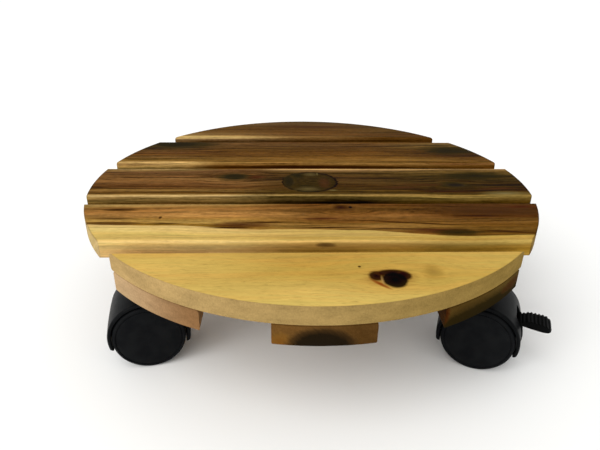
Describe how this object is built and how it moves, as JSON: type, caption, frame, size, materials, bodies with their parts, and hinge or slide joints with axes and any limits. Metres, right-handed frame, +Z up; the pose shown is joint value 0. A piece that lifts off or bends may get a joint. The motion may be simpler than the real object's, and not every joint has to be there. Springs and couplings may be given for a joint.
{
  "type": "plant pot caddy",
  "caption": "Round slatted wooden plant pot caddy on swivelling twin-wheel castors, with press-down brake levers on a diagonal pair.",
  "frame": {"origin": "on the floor, under the middle of the round deck", "axes": "+Z up; +X to the right along the deck slats; +Y across the slats towards the back; the front, at -Y, has a braked castor on its right"},
  "size_m": [0.35, 0.35, 0.095],
  "materials": {
    "pale_wood": "clear satin oil on pale acacia sapwood",
    "streaked_wood": "clear satin oil on streaked acacia",
    "dark_wood": "clear satin oil on acacia heartwood",
    "batten_wood": "thin oil on sawn acacia",
    "black_plastic": "moulded satin black",
    "wheel_plastic": "moulded satin black, plain tread",
    "zinc_steel": "bright zinc plate"
  },
  "bodies": {
    "deck": {"deck_slat_1": "pale_wood", "deck_slat_2": "streaked_wood", "deck_slat_3": "dark_wood", "deck_slat_4": "dark_wood", "deck_slat_5": "dark_wood", "left_batten": "batten_wood", "centre_batten": "batten_wood", "right_batten": "batten_wood", "slat_screw_1": "zinc_steel", "slat_screw_2": "zinc_steel", "slat_screw_3": "zinc_steel", "slat_screw_4": "zinc_steel", "slat_screw_5": "zinc_steel", "slat_screw_6": "zinc_steel", "slat_screw_7": "zinc_steel", "slat_screw_8": "zinc_steel", "front_left_castor_plate": "zinc_steel", "front_left_kingpin": "zinc_steel", "front_left_plate_screw_1": "zinc_steel", "front_left_plate_screw_2": "zinc_steel", "front_left_plate_screw_3": "zinc_steel", "front_left_plate_screw_4": "zinc_steel", "front_right_castor_plate": "zinc_steel", "front_right_kingpin": "zinc_steel", "front_right_plate_screw_1": "zinc_steel", "front_right_plate_screw_2": "zinc_steel", "front_right_plate_screw_3": "zinc_steel", "front_right_plate_screw_4": "zinc_steel", "rear_left_castor_plate": "zinc_steel", "rear_left_kingpin": "zinc_steel", "rear_left_plate_screw_1": "zinc_steel", "rear_left_plate_screw_2": "zinc_steel", "rear_left_plate_screw_3": "zinc_steel", "rear_left_plate_screw_4": "zinc_steel", "rear_right_castor_plate": "zinc_steel", "rear_right_kingpin": "zinc_steel", "rear_right_plate_screw_1": "zinc_steel", "rear_right_plate_screw_2": "zinc_steel", "rear_right_plate_screw_3": "zinc_steel", "rear_right_plate_screw_4": "zinc_steel"},
    "front_left_castor": {"front_left_castor_hood": "black_plastic", "front_left_axle": "zinc_steel"},
    "front_left_wheel_a": {"front_left_wheel_a": "wheel_plastic"},
    "front_left_wheel_b": {"front_left_wheel_b": "wheel_plastic"},
    "front_right_castor": {"front_right_castor_hood": "black_plastic", "front_right_axle": "zinc_steel", "front_right_brake_pin": "zinc_steel"},
    "front_right_wheel_a": {"front_right_wheel_a": "wheel_plastic"},
    "front_right_wheel_b": {"front_right_wheel_b": "wheel_plastic"},
    "front_right_brake": {"front_right_brake_lever": "black_plastic"},
    "rear_left_castor": {"rear_left_castor_hood": "black_plastic", "rear_left_axle": "zinc_steel", "rear_left_brake_pin": "zinc_steel"},
    "rear_left_wheel_a": {"rear_left_wheel_a": "wheel_plastic"},
    "rear_left_wheel_b": {"rear_left_wheel_b": "wheel_plastic"},
    "rear_left_brake": {"rear_left_brake_lever": "black_plastic"},
    "rear_right_castor": {"rear_right_castor_hood": "black_plastic", "rear_right_axle": "zinc_steel"},
    "rear_right_wheel_a": {"rear_right_wheel_a": "wheel_plastic"},
    "rear_right_wheel_b": {"rear_right_wheel_b": "wheel_plastic"}
  },
  "joints": [
    {"name": "front_left_swivel", "type": "hinge", "parent": "deck", "child": "front_left_castor", "pos_m": [-0.1, -0.0875, 0.055], "axis": [0, 0, 1], "continuous": true},
    {"name": "front_left_wheel_a_spin", "type": "hinge", "parent": "front_left_castor", "child": "front_left_wheel_a", "pos_m": [-0.11602, -0.10467, 0.02479], "axis": [0.1908, -0.9816, 0], "continuous": true},
    {"name": "front_left_wheel_b_spin", "type": "hinge", "parent": "front_left_castor", "child": "front_left_wheel_b", "pos_m": [-0.12128, -0.07758, 0.02479], "axis": [0.1908, -0.9816, 0], "continuous": true},
    {"name": "front_right_swivel", "type": "hinge", "parent": "deck", "child": "front_right_castor", "pos_m": [0.101, -0.092, 0.055], "axis": [0, 0, 1], "continuous": true},
    {"name": "front_right_wheel_a_spin", "type": "hinge", "parent": "front_right_castor", "child": "front_right_wheel_a", "pos_m": [0.12379, -0.08632, 0.02479], "axis": [0.3746, 0.9272, 0], "continuous": true},
    {"name": "front_right_wheel_b_spin", "type": "hinge", "parent": "front_right_castor", "child": "front_right_wheel_b", "pos_m": [0.11345, -0.11191, 0.02479], "axis": [0.3746, 0.9272, 0], "continuous": true},
    {"name": "front_right_brake_press", "type": "hinge", "parent": "front_right_castor", "child": "front_right_brake", "pos_m": [0.13698, -0.10654, 0.02759], "axis": [0.3746, 0.9272, 0], "range_deg": [0, 14]},
    {"name": "rear_left_swivel", "type": "hinge", "parent": "deck", "child": "rear_left_castor", "pos_m": [-0.1, 0.09, 0.055], "axis": [0, 0, 1], "continuous": true},
    {"name": "rear_left_wheel_a_spin", "type": "hinge", "parent": "rear_left_castor", "child": "rear_left_wheel_a", "pos_m": [-0.12257, 0.08353, 0.02479], "axis": [-0.342, -0.9397, 0], "continuous": true},
    {"name": "rear_left_wheel_b_spin", "type": "hinge", "parent": "rear_left_castor", "child": "rear_left_wheel_b", "pos_m": [-0.11313, 0.10947, 0.02479], "axis": [-0.342, -0.9397, 0], "continuous": true},
    {"name": "rear_left_brake_press", "type": "hinge", "parent": "rear_left_castor", "child": "rear_left_brake", "pos_m": [-0.13646, 0.10327, 0.02759], "axis": [-0.342, -0.9397, 0], "range_deg": [0, 14]},
    {"name": "rear_right_swivel", "type": "hinge", "parent": "deck", "child": "rear_right_castor", "pos_m": [0.1, 0.09, 0.055], "axis": [0, 0, 1], "continuous": true},
    {"name": "rear_right_wheel_a_spin", "type": "hinge", "parent": "rear_right_castor", "child": "rear_right_wheel_a", "pos_m": [0.11245, 0.10991, 0.02479], "axis": [-0.3746, 0.9272, 0], "continuous": true},
    {"name": "rear_right_wheel_b_spin", "type": "hinge", "parent": "rear_right_castor", "child": "rear_right_wheel_b", "pos_m": [0.12279, 0.08432, 0.02479], "axis": [-0.3746, 0.9272, 0], "continuous": true}
  ]
}
